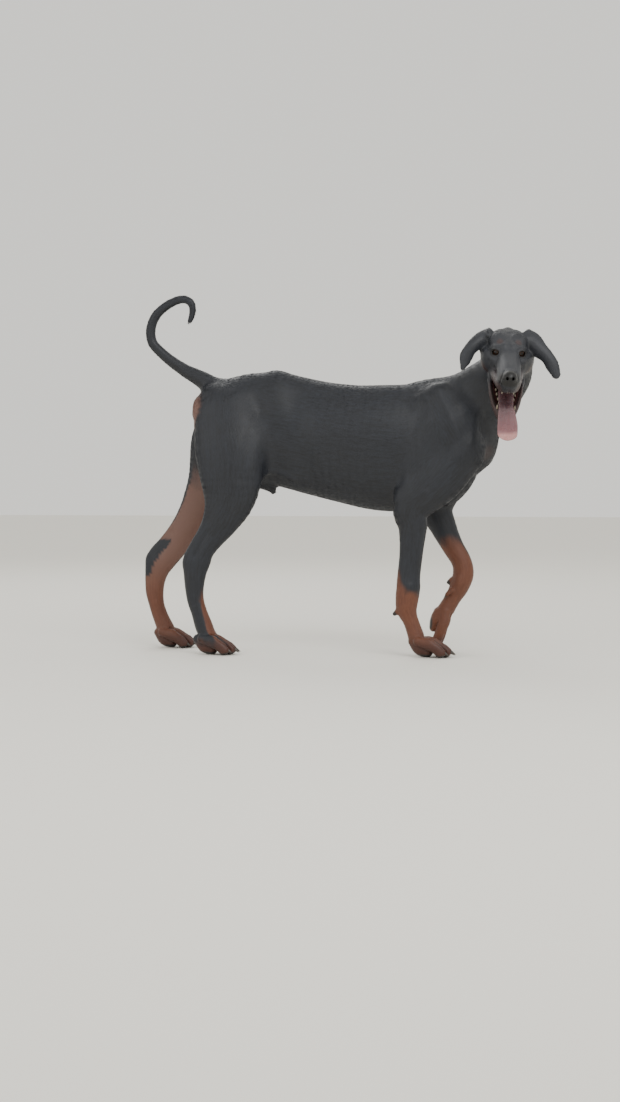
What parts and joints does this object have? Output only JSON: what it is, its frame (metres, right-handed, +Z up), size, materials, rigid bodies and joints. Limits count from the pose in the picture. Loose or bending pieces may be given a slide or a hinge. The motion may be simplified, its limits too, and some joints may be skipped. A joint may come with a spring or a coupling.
{
  "type": "standing doberman pinscher, young, black and tan",
  "caption": "Life-size young black and tan Doberman pinscher, standing, head turned to the right, mouth open with the tongue out, tail curled up.",
  "frame": {"origin": "on the floor, under the centre of the whole dog's bounding box", "axes": "+X from the tail to the chest, +Y to the dog's left, +Z up"},
  "size_m": [1.0192, 0.4244, 0.8593],
  "materials": {
    "coat": "short smooth fur, black with tan points",
    "claw": "black horn",
    "eye": "wet, dark brown",
    "tongue": "moist pink"
  },
  "bodies": {
    "root": {"torso": "coat", "neck": "coat", "tail_base": "coat", "tail_middle": "coat", "tail_tip": "coat", "hind_thigh_right": "coat", "hind_shank_right": "coat", "hind_foot_right": "coat", "hind_foot_right_claw_1": "claw", "hind_foot_right_claw_2": "claw", "hind_foot_right_claw_3": "claw", "hind_foot_right_claw_4": "claw", "hind_thigh_left": "coat", "hind_shank_left": "coat", "hind_foot_left": "coat", "hind_foot_left_claw_1": "claw", "hind_foot_left_claw_2": "claw", "hind_foot_left_claw_3": "claw", "hind_foot_left_claw_4": "claw", "forearm_right": "coat", "fore_foot_right_dewclaw": "claw", "fore_foot_right": "coat", "fore_foot_right_claw_1": "claw", "fore_foot_right_claw_2": "claw", "fore_foot_right_claw_3": "claw", "fore_foot_right_claw_4": "claw", "forearm_left": "coat", "fore_foot_left_dewclaw": "claw", "fore_foot_left": "coat", "fore_foot_left_claw_1": "claw", "fore_foot_left_claw_2": "claw", "fore_foot_left_claw_3": "claw", "fore_foot_left_claw_4": "claw", "head": "coat", "lower_jaw": "coat", "tongue": "tongue", "eye_right": "eye", "ear_right": "coat", "eye_left": "eye", "ear_left": "coat"}
  },
  "joints": []
}
